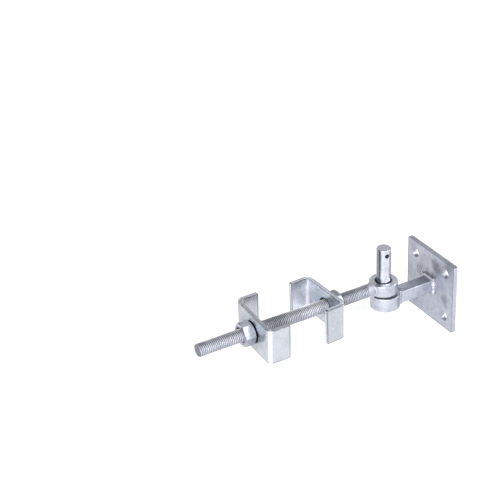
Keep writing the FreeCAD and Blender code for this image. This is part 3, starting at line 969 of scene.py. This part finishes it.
# zinc over a weld looks dull and lumpy, with no spangle to speak of
weldZincLook = {
    "dark": "#8d8e96", "middle": "#9e9fa7", "pale": "#abadb5", "patchSize": 5.0, "spangleSize": 2.5,
    "grainSize": 0.9, "grainShare": 0.2, "spangleShare": 0.1, "roughDark": 0.55, "roughPale": 0.45,
    "lumpSize": 2.5, "lumpHeight": 0.06, "grainHeight": 0.01, "metallic": 0.92,
    "runShare": 0.05, "runSize": 3.0, "runStretch": (1.0, 1.0, 0.5),
}
beads = {
    "plate": {"radius": 3.1, "ripple": 0.55, "spacing": 1.25, "offset": 1.3, "lean": 0.5, "voxel": 0.3,
              "seed": 4},
    "arm": {"radius": 2.1, "ripple": 0.5, "spacing": 1.3, "offset": 0.6, "lean": 0.5, "voxel": 0.25,
            "seed": 9, "belowTop": 1.2, "aboveFoot": 2},
    "eye": {"radius": 1.3, "ripple": 0.7, "spacing": 0.8, "offset": 0.25, "lean": 0.3, "voxel": 0.2,
            "seed": 2, "startAngle": 34, "sweep": 112},
}
rippleChance = {"sway": 0.12, "smallest": 0.92, "largest": 1.08}
weldFray = 3
# painted shade darkens the top run over the arm; a painted highlight brightens the front run, with painted
# shade below it; and painted shade greys the eye's front bead
weldLightAndShade = [
    ((-8, 3, 13), 4, 0.6, "#75737b"), ((-8, -5, 13), 4, 0.6, "#75737b"), ((-9, 10, 12), 5, 0.6, "#7c7b83"),
    ((-8, -10.5, 6), 6, 0.5, "#cfd1db"), ((-8, -10.5, -5), 5, 0.35, "#8a8c94"),
    ((-100, -9, 27), 9, 0.3, "#7f818a"),
]
# painted shade: the bead under the eye, deep in the gap, is coloured nearly black
seatShadeLook = weldZincLook | {
    "dark": "#26272b", "middle": "#34363b", "pale": "#44464c", "roughDark": 0.8, "roughPale": 0.7,
    "metallic": 0.3,
}


def layBead(name, look, path, body, node, finish):
    # path is a list of (place, way along, way outward)
    takeUp(None)
    bpy.ops.mesh.primitive_uv_sphere_add(segments=20, ring_count=12, radius=look["radius"] * mm)
    ripple = settle(name, (1, 1, look["ripple"]))
    chance = random.Random(look["seed"])
    ripples = []
    for place, along, outward in path:
        takeUp(ripple)
        bpy.ops.object.duplicate(linked=False)
        one = bpy.context.object
        sway = chance.uniform(-rippleChance["sway"], rippleChance["sway"])
        one.location = place + outward * sway * look["radius"] * mm
        one.rotation_euler = (along + look["lean"] * outward).to_track_quat("Z", "Y").to_euler()
        one.scale = [chance.uniform(rippleChance["smallest"], rippleChance["largest"])] * 3
        ripples.append(one)
    bpy.data.objects.remove(ripple)
    takeUp(ripples[0])
    for one in ripples:
        one.select_set(True)
    bpy.ops.object.join()
    bead = settle(name, ripples[0].scale)
    finishWith(bead, "REMESH", mode="VOXEL", voxel_size=look["voxel"] * mm)
    finishWith(bead, "SMOOTH", factor=0.5, iterations=3)
    dress(bead, body, [node], finish, smoothAngle=60)


def spacedPoints(corners, spacing):
    # even steps along a path given by its corner points
    points = []
    for here, there in zip(corners, corners[1:]):
        count = max(1, round((there - here).length / spacing))
        for step in range(count):
            points.append((here.lerp(there, step / count), (there - here).normalized()))
    return points


def modelPlateWeld(finish):
    look = beads["plate"]
    gap = look["offset"] * mm
    low = armLow.z - gap
    high = armHigh.z + gap
    y = armHigh.y + gap
    x = armHigh.x - gap
    middle = (low + high) / 2
    loop = [Vector((x, a, b)) for a, b in ((-y, low), (-y, high), (y, high), (y, low), (-y, low))]
    path = []
    for place, along in spacedPoints(loop, look["spacing"] * mm):
        outward = Vector((0, place.y, place.z - middle)).normalized() + Vector((-1, 0, 0))
        path.append((place, along, outward.normalized()))
    layBead("plateWeld", look, path, "hook_plate", "plate_weld", finish)


def modelArmWeld(finish):
    look = beads["arm"]
    gap = look["offset"] * mm
    y = armHigh.y + gap
    high = min(armHigh.z + gap, ringHigh.z - look["belowTop"] * mm)
    foot = armLow.z + look["aboveFoot"] * mm
    corners = [Vector((0, a, b)) for a, b in ((-y, foot), (-y, high), (y, high), (y, foot))]
    path = []
    for place, along in spacedPoints(corners, look["spacing"] * mm):
        place.x = ringX + math.sqrt((ringRadius + gap) ** 2 - place.y ** 2)
        outward = Vector((1, place.y / y, max(0, (place.z - high) / gap + 1))).normalized()
        path.append((place, along, outward))
    layBead("armWeld", look, path, "hook_plate", "arm_weld", finish)


def modelEyeWelds(finish):
    look = beads["eye"]
    reach = rodRadius + look["offset"] * mm
    for name, node, side in (("eyeWeldFront", "eye_weld_front", -1), ("eyeWeldBack", "eye_weld_back", 1)):
        path = []
        steps = round(math.radians(look["sweep"]) * reach / (look["spacing"] * mm))
        for step in range(steps + 1):
            angle = math.radians(look["startAngle"] + look["sweep"] * step / steps)
            y = side * reach * math.sin(angle)
            z = rodZ + reach * math.cos(angle)
            x = pinX - math.sqrt((eyeRadius + look["offset"] * mm) ** 2 - y ** 2)
            along = Vector((0, side * math.cos(angle), -math.sin(angle)))
            outward = Vector((-1, side * math.sin(angle), math.cos(angle))).normalized()
            path.append((Vector((x, y, z)), along, outward))
        layBead(name, look, path, "eye_bolt", node, finish)


def modelSeatBead():
    low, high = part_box("pin_seat_bead")
    takeUp(None)
    middle = (low.z + high.z) / 2
    tube = (high.z - low.z) / 2
    bpy.ops.mesh.primitive_torus_add(location=(pinX, 0, middle), major_segments=96, minor_segments=20,
                                     major_radius=(high.y - low.y) / 2 - tube, minor_radius=tube)
    bead = settle("pinSeatBead")
    finishWith(bead, "SUBSURF", levels=1, render_levels=1)
    finish = zincFinish("seatBeadShade", seatShadeLook)
    dress(bead, "hook_plate", ["pin_seat_bead"], finish, smoothAngle=60)


def paintWeldLight(material, place, colour):
    return blendSpots(material, place, colour, weldLightAndShade, weldFray)


def modelWelds():
    finish = zincFinish("weldBeadZinc", weldZincLook, paintWeldLight)
    modelPlateWeld(finish)
    modelArmWeld(finish)
    modelEyeWelds(finish)
    modelSeatBead()


modelWelds()
